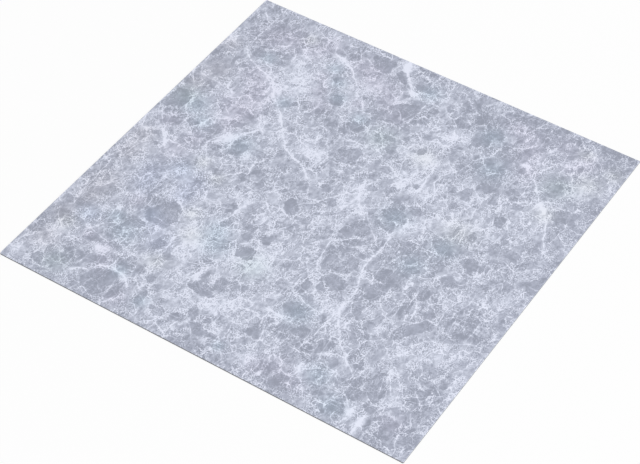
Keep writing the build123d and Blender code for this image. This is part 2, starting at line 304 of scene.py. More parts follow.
# A wash over the matrix: middle x, y, width, height, and how far it lightens, or darkens below 0.
WASHES = (
    (-150, 106, 10, 14, 0.9), (-94, 115, 8, 18, 0.7), (-80, 115, 12, 10, 0.5), (-86, 100, 18, 10, 0.6),
    (-102, 82, 14, 16, 0.9), (-115, 92, 14, 8, 0.7), (-82, 84, 28, 12, 0.6), (-40, 86, 10, 18, 0.6),
    (-44, 103, 8, 16, 0.5), (-125, 62, 8, 14, 0.7), (-92, 57, 10, 10, 0.6), (-70, 52, 26, 12, 0.5),
    (-52, 41, 30, 13, 0.6), (-32, 35, 16, 12, 0.5), (-65, 27, 10, 16, 0.5), (-70, 5, 10, 16, 0.4),
    (13, 77, 12, 14, 1.0), (28, 86, 24, 10, 0.7), (40, 105, 14, 12, 1.0), (33, 95, 12, 12, 0.8),
    (13, 56, 10, 12, 0.7), (24, 50, 16, 8, 0.5), (50, 45, 18, 16, 0.8), (33, 56, 16, 14, 0.5),
    (75, 60, 10, 10, 0.7), (64, 66, 12, 8, 0.5), (93, 45, 24, 18, 0.6), (83, 32, 22, 12, 0.7),
    (68, 26, 22, 10, 0.7), (60, 20, 10, 12, 0.5), (103, 32, 10, 18, 0.5), (95, 89, 10, 10, 0.7),
    (124, 65, 10, 20, 0.7), (98, 112, 12, 10, 0.7), (131, 106, 16, 13, 0.8), (148, 115, 10, 22, 0.6),
    (123, 131, 8, 12, 0.7), (6, 30, 12, 16, 0.6), (25, 22, 10, 10, 0.6), (14, 10, 18, 12, 0.6),
    (8, -11, 24, 12, 0.6), (-32, -15, 18, 10, 0.6), (-25, -23, 14, 18, 0.5), (-18, -31, 10, 16, 0.5),
    (-142, -5, 14, 12, 0.6), (-132, -23, 22, 10, 0.9), (-149, -30, 10, 22, 0.5), (-130, -34, 14, 10, 0.4),
    (-109, -10, 14, 8, 0.5), (-94, -34, 12, 18, 0.6), (-106, -33, 10, 12, 0.5), (-92, -44, 10, 12, 0.5),
    (-70, -54, 16, 14, 1.0), (-62, -68, 12, 14, 0.9), (-84, -77, 20, 12, 0.6), (-52, -85, 18, 24, 0.7),
    (-42, -60, 18, 12, 0.7), (-45, -101, 10, 14, 0.7), (-30, -113, 18, 18, 1.0), (-15, -115, 16, 10, 0.7),
    (-36, -121, 18, 10, 0.7), (-55, -125, 16, 8, 0.5), (-24, -74, 12, 14, 1.2), (-9, -55, 14, 18, 0.7),
    (-7, -73, 16, 18, 0.6), (8, -68, 10, 12, 0.4), (14, -86, 10, 12, 0.7), (14, -103, 12, 14, 0.8),
    (-5, -100, 18, 12, 0.6), (45, -65, 10, 14, 0.7), (33, -44, 8, 10, 0.4), (21, -54, 10, 8, 0.6),
    (60, -35, 10, 14, 0.4), (85, -70, 10, 22, 0.7), (108, -33, 10, 18, 0.5), (103, -25, 16, 6, 0.5),
    (105, -10, 18, 8, 0.5), (113, -70, 16, 16, 0.7), (128, -75, 26, 12, 1.0), (136, -63, 16, 12, 0.6),
    (105, -78, 10, 12, 0.5), (123, -118, 10, 16, 0.9), (115, -95, 10, 10, 0.6), (150, -94, 8, 10, 0.6),
    (80, -112, 10, 18, 0.7), (38, -123, 10, 12, 0.8), (28, -139, 12, 10, 0.8), (8, -120, 10, 16, 0.5),
    (-137, -130, 12, 14, 0.9), (-149, -141, 10, 12, 0.8), (-132, -113, 16, 10, 0.5),
    (-65, -130, 12, 12, 0.7),
    (90, -133, 10, 10, 0.6), (-127, 136, 14, 30, -0.7), (-145, 132, 16, 10, -0.6), (-136, 115, 18, 12, -0.7),
    (-107, 112, 10, 12, -0.5), (-110, 135, 12, 10, -0.5), (-67, 137, 26, 9, -0.7), (-20, 129, 10, 10, -0.7),
    (-10, 147, 10, 10, -0.7), (5, 107, 8, 12, -0.6), (-17, 105, 12, 10, -0.5), (64, 147, 18, 14, -1.4),
    (48, 130, 24, 20, -1.1), (33, 141, 18, 10, -0.8), (98, 147, 16, 12, -1.1), (88, 137, 14, 20, -0.6),
    (135, 150, 22, 10, -0.9), (148, 149, 12, 10, -1.0), (148, 137, 10, 12, -0.5), (76, 112, 16, 10, -0.8),
    (65, 85, 26, 14, -1.0), (74, 91, 16, 12, -0.5), (75, 75, 12, 10, -0.6), (143, 92, 22, 14, -0.7),
    (138, 67, 12, 18, -0.6), (149, 72, 8, 10, -0.6), (130, 42, 12, 16, -0.4), (150, 32, 8, 14, -0.9),
    (94, 10, 16, 16, -0.5), (130, -3, 10, 12, -0.6), (135, 5, 10, 16, -0.4), (43, 25, 16, 12, -0.5),
    (65, -13, 30, 22, -0.6), (54, -5, 10, 10, -0.5), (47, -20, 10, 10, -0.5), (28, -23, 18, 8, -0.5),
    (94, -40, 18, 10, -0.8), (90, -55, 18, 10, -0.9), (131, -48, 16, 10, -1.5), (143, -45, 16, 8, -0.8),
    (129, -27, 16, 12, -0.7), (58, -55, 8, 16, -0.4), (64, -73, 12, 16, -0.5), (135, -83, 14, 10, -0.5),
    (138, -100, 26, 16, -0.8), (118, -108, 8, 10, -0.5), (83, -95, 12, 14, -0.7), (58, -110, 26, 14, -1.0),
    (38, -98, 10, 16, -0.6), (53, -90, 10, 12, -0.4), (31, -80, 20, 12, -0.6), (103, -118, 12, 14, -0.5),
    (115, -135, 10, 8, -0.4), (138, -130, 12, 16, -0.6), (130, -145, 18, 14, -0.9), (60, -140, 16, 14, -0.9),
    (45, -138, 10, 10, -0.4), (-100, -68, 20, 22, -0.9), (-105, -45, 16, 10, -0.5), (-92, -55, 10, 10, -0.4),
    (-105, -90, 12, 22, -0.6), (-145, -103, 16, 18, -0.8), (-85, -115, 22, 10, -0.5),
    (-112, -130, 16, 12, -0.6),
    (-100, -134, 16, 10, -0.6), (-122, -148, 12, 8, -0.5), (-45, 5, 30, 12, -0.7), (-5, 2, 10, 16, -0.6),
    (-16, 10, 10, 10, -0.4), (-40, 24, 14, 10, -0.5), (-4, 30, 10, 12, -0.5), (-55, 70, 18, 10, -0.6),
    (-41, 64, 10, 10, -0.6), (-60, 92, 10, 16, -0.5), (-6, 92, 8, 10, -0.5), (-2, 77, 10, 16, -0.5),
    (-137, 20, 12, 10, -0.5), (-147, 50, 8, 10, -0.5), (-125, 45, 10, 10, -0.4), (-120, -26, 8, 10, -0.5),
    (-81, -33, 10, 12, -0.4), (23, -43, 8, 12, -0.5), (-22, -51, 16, 10, -0.4), (18, -148, 14, 8, -0.8),
    (-85, 144, 12, 12, 1.1), (-111, 50, 34, 12, 1.0), (-127, 42, 8, 14, 0.7), (-94, 65, 8, 12, 0.6),
    (-92, 112, 9, 14, 0.8), (-97, 94, 10, 20, 0.6), (-80, 84, 20, 10, 0.6), (-69, -39, 15, 12, 1.1),
    (-65, -20, 24, 16, 0.7), (-84, -60, 8, 20, 0.8), (-60, -88, 10, 20, 0.9), (41, 52, 26, 13, 1.2),
    (28, 46, 14, 16, 0.8), (48, 42, 16, 12, 0.7), (31, 71, 14, 12, 1.0), (44, 75, 14, 8, 0.7),
    (74, 56, 8, 12, 0.8), (-9, 60, 12, 12, 0.8), (-22, 12, 14, 14, 0.9), (-19, 27, 8, 12, 0.9),
    (-14, 2, 7, 10, 1.0), (-46, 35, 10, 12, 0.7), (-89, 27, 8, 16, 0.8), (-22, -34, 16, 10, 0.8),
    (8, -48, 10, 8, 0.8), (31, -65, 8, 12, 1.0), (45, -76, 10, 10, 0.9), (-27, -88, 14, 14, 0.9),
    (-24, -69, 16, 10, 0.6), (10, -94, 10, 10, 0.8), (-9, -108, 14, 10, 0.8), (-16, -130, 9, 10, 0.8),
    (-39, -125, 8, 8, 0.6), (-30, -139, 10, 12, 0.6), (-69, -123, 8, 8, 0.8), (-117, -74, 16, 14, 0.8),
    (-132, -128, 10, 20, 0.8), (-142, -147, 20, 14, 0.9), (-151, -85, 8, 14, 0.9), (-122, -5, 14, 10, 0.9),
    (68, -34, 10, 8, 0.8), (83, -30, 8, 16, 0.7), (96, -13, 8, 8, 0.8), (76, -60, 9, 9, 1.0),
    (126, -75, 7, 14, 1.1), (148, -90, 10, 14, 0.9), (75, -98, 8, 16, 0.8), (120, -113, 9, 9, 0.9),
    (151, -36, 6, 14, 0.9), (135, 105, 14, 12, 0.9), (118, 122, 10, 8, 0.8), (105, 62, 9, 9, 0.7),
    (140, 27, 10, 12, 0.7), (20, 101, 18, 8, 0.9), (15, -28, 6, 16, 0.8), (28, -13, 24, 12, 0.5),
    (65, -124, 8, 8, 0.7), (50, -130, 8, 8, 0.7), (84, -116, 8, 8, 0.7), (-32, 147, 14, 10, 0.8),
    (-97, 151, 10, 8, -1.1), (-112, 132, 12, 10, -0.7), (-126, 120, 10, 10, -0.8), (-145, 87, 8, 16, -0.8),
    (-50, 75, 8, 18, -0.8), (-29, 101, 8, 10, -0.9), (-2, 130, 10, 18, -1.0), (43, 129, 22, 18, -0.8),
    (61, 104, 8, 8, -0.9), (60, 79, 8, 14, -0.9), (79, 112, 9, 8, -0.8), (97, 134, 9, 9, -1.0),
    (115, 144, 12, 10, -0.7), (136, 146, 20, 12, -0.8), (101, 116, 8, 8, -0.7), (93, 96, 14, 10, -0.7),
    (120, 92, 10, 12, -0.8), (151, 92, 8, 20, -1.2), (138, 60, 14, 20, -0.6), (130, 21, 10, 16, -1.1),
    (120, 10, 10, 10, -0.6), (144, -8, 12, 14, -1.1), (144, -24, 12, 12, -0.9), (128, -33, 14, 8, -0.7),
    (110, -46, 10, 12, -1.1), (90, -55, 10, 12, -0.8), (70, -76, 8, 12, -0.8), (51, 20, 12, 12, -1.1),
    (73, 2, 16, 10, -0.8), (85, -6, 14, 12, -1.0), (19, 59, 8, 14, -0.7), (-85, 56, 8, 16, -0.7),
    (-59, 50, 8, 12, -0.8), (-137, 45, 8, 16, -0.8), (-134, 20, 16, 10, -0.9), (-119, 32, 8, 10, -0.6),
    (-26, -5, 10, 8, -0.8), (-5, -3, 7, 8, -0.8), (-107, -23, 8, 12, -0.9), (-122, -26, 14, 6, -0.6),
    (-143, -35, 8, 8, -0.9), (-145, -51, 10, 20, -0.8), (-101, -58, 10, 10, -0.7), (-42, -74, 10, 14, -0.9),
    (-14, -95, 8, 8, -1.0), (39, -95, 10, 9, -0.8), (51, -113, 12, 14, -0.8), (-146, -118, 10, 24, -0.9),
    (-116, -131, 14, 16, -0.9), (-104, -148, 14, 10, -1.1), (-85, -95, 12, 8, -0.7),
    (-55, -130, 10, 14, -0.7),
    (5, -149, 14, 8, -1.2), (-12, -149, 8, 8, -0.7), (39, -140, 9, 10, -0.8), (63, -141, 10, 16, -1.0),
    (90, -146, 14, 10, -1.1), (85, -129, 8, 8, -0.7), (100, -120, 16, 12, -0.9), (115, -130, 12, 14, -0.8),
    (123, -148, 26, 12, -1.2), (140, -134, 10, 12, -0.8), (131, -110, 10, 10, -0.9),
    (20, -22, 9, 12, -1.0), (-81, 93, 9, 10, -0.9), (-62, -145, 9, 12, -0.8), (-135, 137, 9, 14, -0.7),
    (134, 36, 14, 8, -0.9), (143, -103, 9, 9, -0.8), (48, 33, 8, 8, -0.8), (-27, 37, 14, 12, -0.6),
    (-16, 37, 8, 8, -0.5), (33, 46, 12, 8, -0.7), (-132, -29, 18, 8, -0.8), (-77, -31, 8, 10, -0.6),
    (-96, -96, 8, 12, -0.7), (-114, -76, 8, 8, -0.6), (-55, -70, 14, 16, -0.6), (-6, -61, 10, 12, -0.6),
    (-2, -111, 18, 12, -0.6), (-3, -128, 9, 10, -0.8), (-41, -119, 10, 10, -0.6), (40, -118, 10, 16, -0.5),
    (69, -59, 14, 12, -0.5), (50, -39, 12, 12, -0.5), (136, -40, 10, 10, -0.6), (123, -86, 10, 14, -0.7),
    (108, -89, 8, 16, -0.5), (94, -124, 10, 14, -0.7), (103, -134, 8, 8, -0.5), (94, 71, 9, 9, -0.7),
    (90, 56, 10, 10, -0.6), (115, 117, 10, 12, -0.8), (128, 129, 20, 8, -0.8), (74, 137, 12, 12, -0.7),
    (99, 132, 12, 6, -0.8), (81, 134, 8, 8, -0.5), (26, 127, 12, 8, -0.7), (60, 101, 8, 12, -0.6),
    (-24, 150, 8, 8, -0.8), (-14, 147, 8, 8, -0.6), (10, 149, 8, 10, -0.8), (-54, 150, 14, 8, -0.7),
    (-71, 134, 12, 12, -0.6), (-42, 124, 8, 8, -0.7), (-56, 115, 12, 8, -0.7), (-86, 127, 8, 8, -0.7),
    (-79, 122, 8, 10, -0.5), (-32, 104, 14, 10, -0.7), (-40, 92, 8, 8, -0.5), (-12, 105, 8, 8, -0.5),
    (-35, 64, 16, 10, -0.6), (-100, 59, 8, 8, -0.8), (-126, 82, 9, 12, -0.6), (-85, 62, 8, 8, -0.5),
    (149, 95, 8, 12, -0.6), (136, 107, 8, 10, -0.5), (-27, -5, 8, 8, -0.6), (-99, 5, 8, 12, -0.5),
    (150, 2, 8, 12, -0.8), (-69, 96, 12, 8, 0.9), (-55, 99, 8, 10, 0.8), (-66, 74, 9, 10, 0.7),
    (-49, 54, 12, 14, 0.7), (-74, 40, 8, 16, 0.6), (-99, 141, 8, 14, 0.8), (-94, 131, 6, 10, 0.7),
    (-119, 134, 8, 16, 0.5), (-55, 127, 12, 7, 0.8), (18, 120, 10, 9, 0.8), (28, 115, 9, 10, 0.7),
    (19, 142, 6, 14, 0.6), (10, 96, 9, 8, 0.7), (51, 64, 16, 10, 0.8), (50, 75, 8, 12, 0.6),
    (79, 121, 14, 8, 0.6), (98, 120, 8, 12, 0.6), (113, 72, 10, 14, 0.7), (104, 61, 8, 8, 0.6),
    (139, 59, 12, 10, 0.7), (74, 59, 8, 12, 0.6), (20, 41, 12, 12, 0.6), (-5, 37, 7, 7, 0.7),
    (69, 26, 9, 10, 0.7), (99, 16, 8, 10, 0.8), (126, 5, 9, 9, 0.8), (124, 30, 7, 10, 0.7),
    (19, -3, 8, 14, 0.6), (-144, 1, 9, 9, 0.8), (-102, -9, 20, 8, 0.8), (-126, -20, 12, 8, 0.7),
    (-150, -8, 10, 8, 0.8), (-89, -16, 10, 10, 0.6), (70, -34, 12, 10, 0.8), (95, -45, 14, 6, 0.6),
    (146, -53, 10, 10, 0.6), (6, -49, 9, 9, 0.7), (16, -55, 9, 9, 0.7), (6, -65, 12, 14, 0.5),
    (40, -78, 10, 9, 0.8), (-5, -93, 12, 12, 0.7), (-20, -103, 14, 8, 0.8), (-56, -110, 9, 9, 0.9),
    (-37, -109, 7, 8, 0.7), (-84, -55, 8, 8, 0.7), (-85, -73, 16, 12, 0.7), (-122, -86, 12, 10, 0.6),
    (-126, -105, 8, 8, 0.6), (-100, -143, 16, 10, 0.8), (136, -145, 8, 8, 0.8), (134, -128, 12, 10, 0.7),
    (131, -75, 14, 16, 0.5), (70, -130, 10, 10, 0.7), (-37, -145, 12, 12, 0.6), (-16, -64, 8, 10, 0.6),
    (-92, 25, 8, 14, 0.5), (-74, 2, 8, 8, 0.6), (-144, 124, 8, 6, 0.6), (-115, 65, 8, 10, 0.6),
)
# The faint casts of the print, and the places that take each: x, y, radius.
STAINS = {
    "#BEC1D1": (  # rosy
        (-125, 122, 14), (-110, 125, 13), (-85, 137, 10), (-90, 124, 9), (-57, 130, 10), (-45, 130, 9),
        (-41, 119, 10), (-27, 119, 11), (-19, 107, 9), (-7, 97, 8), (-72, 105, 7), (-66, 92, 7),
        (-57, 80, 8), (-37, 95, 5), (-115, 82, 10), (-105, 72, 11), (-97, 60, 13), (-110, 45, 13),
        (-97, 42, 11), (-100, 27, 9), (-135, 10, 9), (-110, 5, 9), (-115, -12, 10), (-107, -65, 7),
        (-92, -122, 8), (-100, -110, 7), (-115, -107, 6), (-67, -142, 8), (68, 135, 9), (80, 129, 11),
        (88, 116, 11), (95, 100, 10), (105, 137, 10), (117, 120, 10), (125, 130, 8), (50, -133, 10),
        (65, -137, 9), (38, -140, 8), (132, -132, 8),
    ),
    "#B8C2D1": (  # sea blue
        (-128, 32, 10), (-115, 20, 7), (-80, 16, 10), (-80, 67, 6), (-69, 117, 6), (-60, 105, 6),
        (-51, 92, 6), (-27, 82, 6), (-115, 100, 6), (0, 131, 8), (58, 117, 9), (73, 90, 10),
        (43, 15, 10), (84, 9, 9), (74, -15, 9), (-48, -58, 9), (-41, -70, 10), (-97, -93, 10),
        (-110, -84, 6), (-79, -122, 6), (36, -89, 10), (74, -125, 9), (94, -140, 9), (-52, -136, 5),
        (10, -139, 4),
    ),
    "#B9C1D3": (  # sky blue
        (-100, -25, 9), (-127, -92, 8), (-93, -70, 7),
    ),
    "#BBC1D3": (  # lavender
        (-115, -36, 10), (-112, -50, 10), (-86, -33, 10), (-85, -46, 8), (-84, -76, 9), (-72, -89, 10),
    ),
    "#B9C2CD": (  # green
        (-141, 37, 10), (-5, 75, 11), (-10, -72, 10), (118, 99, 11), (-119, -138, 9),
    ),
    "#BCC1CC": (  # greenish grey
        (134, 112, 10), (29, 74, 9), (123, 72, 8), (85, 26, 12), (-59, -71, 8), (-65, -102, 8),
        (-92, -12, 6), (-75, -20, 6), (-70, -55, 6), (120, 137, 6), (145, 130, 7), (-134, -106, 7),
        (-100, 133, 6),
    ),
    "#BEC1CE": (  # tan
        (-139, 70, 13), (-143, 50, 9), (-143, -12, 10), (-141, -30, 11), (-137, -62, 13),
        (-136, -80, 9), (-142, -100, 9), (-138, -124, 11), (-146, 98, 8),
    ),
}


def from_hex(code):
    """The linear colour of an sRGB code such as #BCC1CF, with full alpha."""
    parts = [int(code[i : i + 2], 16) / 255 for i in (1, 3, 5)]
    return (*(p / 12.92 if p <= 0.04045 else ((p + 0.055) / 1.055) ** 2.4 for p in parts), 1.0)


def add(tree, kind, inputs=None, **settings):
    """Adds a node, sets its options, and gives its inputs a value or another node's output."""
    node = tree.nodes.new(kind)
    for name, value in settings.items():
        setattr(node, name, value)
    for name, value in (inputs or {}).items():
        if isinstance(value, bpy.types.Node):
            value = next(output for output in value.outputs if output.enabled)
        if isinstance(value, bpy.types.NodeSocket):
            tree.links.new(value, node.inputs[name])
        else:
            node.inputs[name].default_value = value
    return node


LENGTH = {"unit": "LENGTH", "subtype": "DISTANCE"}
COLOUR = {"subtype": "COLOR", "size": 4, "min": 0, "max": 1}


class TileSizes(bpy.types.PropertyGroup):
    """The punched blank."""

    side: bpy.props.FloatProperty(
        name="Side", description="Side of the square tile", default=TILE_HIGH.x - TILE_LOW.x, **LENGTH,
    )
    thickness: bpy.props.FloatProperty(
        name="Thickness", description="Back to printed face", default=TILE_HIGH.z - TILE_LOW.z, **LENGTH,
    )
    corner_radius: bpy.props.FloatProperty(
        name="Corner radius", description="How the punch rounds each corner, seen from above",
        default=0.6 * MM, **LENGTH,
    )
    face_roll: bpy.props.FloatProperty(
        name="Face roll", description="Radius of the rolled rim round the printed face",
        default=0.2 * MM, **LENGTH,
    )
    back_break: bpy.props.FloatProperty(
        name="Back break", description="Leg of the small break round the back",
        default=0.08 * MM, **LENGTH,
    )
    relief: bpy.props.FloatProperty(
        name="Relief", description="Depth of the calender's shallow relief in the face",
        default=0.015 * MM, **LENGTH,
    )


class TileLook(bpy.types.PropertyGroup):
    """Colours of the print, the core and the back."""

    deep: bpy.props.FloatVectorProperty(
        name="Deep clast", description="Darkest tone of the clasts", default=from_hex("#9A9FAF"), **COLOUR,
    )
    clast: bpy.props.FloatVectorProperty(
        name="Clast", description="Common tone of the clasts", default=from_hex("#AEB3C4"), **COLOUR,
    )
    ground: bpy.props.FloatVectorProperty(
        name="Ground", description="Middle tone of the matrix", default=from_hex("#C1C6D6"), **COLOUR,
    )
    pale: bpy.props.FloatVectorProperty(
        name="Pale ground", description="Light tone of the matrix", default=from_hex("#D6DBEB"), **COLOUR,
    )
    vein: bpy.props.FloatVectorProperty(
        name="Vein", description="White of the veins", default=from_hex("#EBEFFE"), **COLOUR,
    )
    core: bpy.props.FloatVectorProperty(
        name="Core", description="Limestone filled PVC, seen on the punched sides",
        default=from_hex("#838489"), **COLOUR,
    )
    back: bpy.props.FloatVectorProperty(
        name="Back", description="Calendered back of the filled PVC", default=from_hex("#A3A4A8"), **COLOUR,
    )


class StageSettings(bpy.types.PropertyGroup):
    """Camera, lamps and floor."""

    focal: bpy.props.FloatProperty(
        name="Focal length", description="Of the camera, in millimetres, on a 36 mm sensor",
        default=114.8,
    )
    roll: bpy.props.FloatProperty(
        name="Roll", description="How far the camera leans about its own axis",
        default=math.radians(0.65), subtype="ANGLE",
    )
    key: bpy.props.FloatProperty(
        name="Key lamp", description="Power of the large soft lamp on the right",
        default=270.0, unit="POWER",
    )
    sky: bpy.props.FloatProperty(
        name="Surround", description="Strength of the plain light from all round", default=0.48,
    )
    floor: bpy.props.FloatVectorProperty(
        name="Floor", description="Colour of the plain floor", default=from_hex("#F4F4F4"), **COLOUR,
    )


NEAR = 1e-6  # lengths this close count as the same
FACE_CELLS = 254  # cells of the face each way, 1.2 mm wide
CORNER_STEPS = 6
ROLL_STEPS = 4
RIM_FOLD = math.radians(80)  # the faces at a rim fold by more than this
RELIEF_FADE = 4 * MM  # the relief comes to its full depth this far in from the sides
RELIEF_WAVE = 7 * MM
SMOOTH_BELOW = math.radians(35)
PRINT, SIDES, BACK = range(3)  # the finishes, in the order of the tile's materials
LEVEL = 0.1  # a face that looks up or down by more than this isn't a side


def select_parts(blank, kind, wanted):
    """Selects, in edit mode, the verts or edges that the test wants."""
    bpy.ops.mesh.select_all(action="DESELECT")
    mesh = bmesh.from_edit_mesh(blank.data)
    for part in getattr(mesh, kind):
        if wanted(part):
            part.select_set(True)
    bmesh.update_edit_mesh(blank.data)


def is_rim(edge):
    """True for a level edge where two faces meet at about a right angle."""
    level = abs(edge.verts[0].co.z - edge.verts[1].co.z) < NEAR
    return level and len(edge.link_faces) == 2 and edge.calc_face_angle() > RIM_FOLD


def punch_blank(sizes):
    """The closed blank: a fine grid for the face, walls punched down from it, and a flat back."""
    half = sizes.side / 2
    middle = sizes.thickness / 2
    bpy.ops.object.select_all(action="DESELECT")
    bpy.ops.mesh.primitive_grid_add(
        x_subdivisions=FACE_CELLS, y_subdivisions=FACE_CELLS, size=sizes.side,
        location=(0, 0, sizes.thickness),
    )
    blank = bpy.context.object
    blank.name = blank.data.name = "vinyl_tile"
    bpy.ops.object.transform_apply(location=True, rotation=False, scale=False)

    bpy.ops.object.mode_set(mode="EDIT")
    bpy.ops.mesh.select_mode(type="VERT")
    select_parts(blank, "verts", lambda point: min(abs(point.co.x), abs(point.co.y)) > half - NEAR)
    bpy.ops.mesh.bevel(offset=sizes.corner_radius, segments=CORNER_STEPS, affect="VERTICES")

    bpy.ops.mesh.select_mode(type="EDGE")
    select_parts(blank, "edges", lambda edge: edge.is_boundary)
    bpy.ops.mesh.extrude_region_move(TRANSFORM_OT_translate={"value": (0, 0, -sizes.thickness)})
    bpy.ops.mesh.edge_face_add()

    select_parts(blank, "edges", lambda edge: is_rim(edge) and edge.verts[0].co.z > middle)
    bpy.ops.mesh.bevel(
        offset=sizes.face_roll, segments=ROLL_STEPS, profile=0.5, affect="EDGES", clamp_overlap=False,
    )
    select_parts(blank, "edges", lambda edge: is_rim(edge) and edge.verts[0].co.z < middle)
    bpy.ops.mesh.bevel(offset=sizes.back_break, segments=1, affect="EDGES", clamp_overlap=False)
    bpy.ops.mesh.select_all(action="SELECT")
    bpy.ops.mesh.normals_make_consistent(inside=False)
    bpy.ops.object.mode_set(mode="OBJECT")
    return blank


def calender_face(blank, sizes):
    """Presses the calender's shallow, slow relief into the face, fading out before the rim."""
    half = sizes.side / 2
    group = blank.vertex_groups.new(name="face")
    for point in blank.data.vertices:
        inward = half - max(abs(point.co.x), abs(point.co.y))
        if point.co.z > sizes.thickness - NEAR and inward > sizes.face_roll + NEAR:
            group.add([point.index], min(1, inward / RELIEF_FADE), "REPLACE")
    waves = bpy.data.textures.new("calender_waves", "CLOUDS")
    waves.noise_scale = RELIEF_WAVE
    waves.noise_depth = 1
    press = blank.modifiers.new("calender", "DISPLACE")
    press.texture = waves
    press.texture_coords = "LOCAL"
    press.direction = "Z"
    press.vertex_group = group.name
    press.mid_level = 1
    press.strength = sizes.relief
    weigh = blank.modifiers.new("flat normals", "WEIGHTED_NORMAL")
    weigh.keep_sharp = True
    bpy.ops.object.select_all(action="DESELECT")
    blank.select_set(True)
    bpy.context.view_layer.objects.active = blank
    bpy.ops.object.shade_smooth_by_angle(angle=SMOOTH_BELOW)
    for name in [modifier.name for modifier in blank.modifiers]:
        bpy.ops.object.modifier_apply(modifier=name)


def share_faces(blank):
    """Gives each face its finish by the way that it looks."""
    for face in blank.data.polygons:
        if face.normal.z > LEVEL:
            face.material_index = PRINT
        elif face.normal.z < -LEVEL:
            face.material_index = BACK
        else:
            face.material_index = SIDES


# The map, as shares of its width: the margin, the print, the back, and the strips of the sides
MAP_EDGE = 0.004
PRINT_SHARE = 0.78
BACK_SHARE = 0.2
STRIP_PITCH = 0.04
STRIP_HEIGHT = 0.02


def lay_map(mesh, sizes):
    """One map for the whole tile: the print large, the back small beside it, the sides in strips."""
    layer = mesh.uv_layers.new(name="OFBake")
    corner = np.empty(len(mesh.loops), np.int32)
    mesh.loops.foreach_get("vertex_index", corner)
    place = np.empty(len(mesh.vertices) * 3)
    mesh.vertices.foreach_get("co", place)
    place = place.reshape(-1, 3)[corner]
    face_of = np.repeat(np.arange(len(mesh.polygons)), [len(p.vertices) for p in mesh.polygons])
    finish = np.array([p.material_index for p in mesh.polygons])[face_of]
    normal = np.array([p.normal for p in mesh.polygons])[face_of]

    across = place[:, 0] / sizes.side + 0.5
    along = place[:, 1] / sizes.side + 0.5
    up = place[:, 2] / sizes.thickness
    uv = np.stack([MAP_EDGE + PRINT_SHARE * across, MAP_EDGE + PRINT_SHARE * along], 1)
    back = finish == BACK
    uv[back] = np.stack([1 - MAP_EDGE - BACK_SHARE * across, MAP_EDGE + BACK_SHARE * along], 1)[back]
    facing_x = np.abs(normal[:, 0]) > np.abs(normal[:, 1])
    run = np.where(facing_x, along, across)
    ways = (facing_x & (normal[:, 0] > 0), facing_x & (normal[:, 0] < 0),
            ~facing_x & (normal[:, 1] > 0), ~facing_x & (normal[:, 1] < 0))
    for number, way in enumerate(ways):
        strip = way & (finish == SIDES)
        lift = MAP_EDGE + PRINT_SHARE + STRIP_PITCH * (number + 0.5) + STRIP_HEIGHT * up
        uv[strip] = np.stack([MAP_EDGE + PRINT_SHARE * run, lift], 1)[strip]
    layer.data.foreach_set("uv", uv.ravel())


FAR = 50.0  # mm, farther than the print reads from a clast or a vein
# An angular clast: its sides, how far a side's facing strays as a share of the step between two,
# how far out a side lies as a share of the half length or width, and the round off its corners
CLAST_SIDES = 5
SIDE_STRAY = 0.35
SIDE_REACH = (0.66, 1.0)
ROUND_REACH = 1.2
ROUND_SLOPE = 0.8
PATCH_FALL = 3  # how steeply a milky patch or a wash fades outwards
WASH_SHARE = 0.5  # how much of its listed strength a wash has beside a milky patch
# The base tone that the faint casts lean from, and how the eye weighs red, green and blue
PLAIN_PRINT = "#BCC1D0"
EYE_WEIGHTS = np.array((0.2126, 0.7152, 0.0722))
# What is painted on the tile's points, besides the casts
PAINTED = ("clast_gap", "clast_depth", "milk", "vein_near", "vein_side", "vein_width", "vein_white")


def keep_nearest(kept, found):
    """Takes over what was found wherever it is nearer. The first of each is how far it is."""
    closer = found[0] < kept[0]
    for values, new in zip(kept, found):
        values[closer] = np.broadcast_to(new, closer.shape)[closer]


def from_run(place, start, end):
    """For each place, how far it is from a straight run and its offset from the run's start."""
    run = end - start
    off = place - start
    share = np.clip(off @ run / (run @ run), 0, 1)
    return np.linalg.norm(off - share[:, None] * run, axis=1), off


def turned(place, x, y, turn):
    """The places from a figure's middle, in mm along its length and across it."""
    angle = math.radians(turn)
    off = place - (x, y)
    along = off[:, 0] * math.cos(angle) + off[:, 1] * math.sin(angle)
    across = off[:, 1] * math.cos(angle) - off[:, 0] * math.sin(angle)
    return along, across


def smooth_route(points, steps=8):
    """Points of a smooth curve that runs through the given ones."""
    points = np.array(points, float)
    ends = np.vstack([2 * points[0] - points[1], points, 2 * points[-1] - points[-2]])
    share = np.linspace(0, 1, steps, endpoint=False)[:, None]
    route = []
    for before, start, end, after in zip(ends, ends[1:], ends[2:], ends[3:]):
        route.append(0.5 * (
            2 * start + (end - before) * share
            + (2 * before - 5 * start + 4 * end - after) * share**2
            + (3 * start - 3 * end + after - before) * share**3
        ))
    return np.vstack([*route, points[-1:]])


def beside(place, route):
    """For each place, how far it is from the route, and that with the sign of its side."""
    near = np.full(len(place), np.inf)
    side = np.zeros(len(place))
    for start, end in zip(route, route[1:]):
        gap, off = from_run(place, start, end)
        left = (end[0] - start[0]) * off[:, 1] - (end[1] - start[1]) * off[:, 0]
        keep_nearest((near, side), (gap, np.sign(left) * gap))
    return near, side


def beyond_clast(place, x, y, length, width, turn, seed):
    """How far each place is outside an angular fragment, in mm, and less than 0 within it."""
    chance = np.random.default_rng(seed)
    along, across = turned(place, x, y, turn)
    along = along / (length / 2)
    across = across / (width / 2)
    out = (np.hypot(along, across) - ROUND_REACH) * ROUND_SLOPE
    steps = np.arange(CLAST_SIDES) + chance.uniform(-SIDE_STRAY, SIDE_STRAY, CLAST_SIDES)
    for facing in steps * math.tau / CLAST_SIDES:
        reach = chance.uniform(*SIDE_REACH)
        out = np.maximum(out, along * math.cos(facing) + across * math.sin(facing) - reach)
    return out * min(length, width) / 2


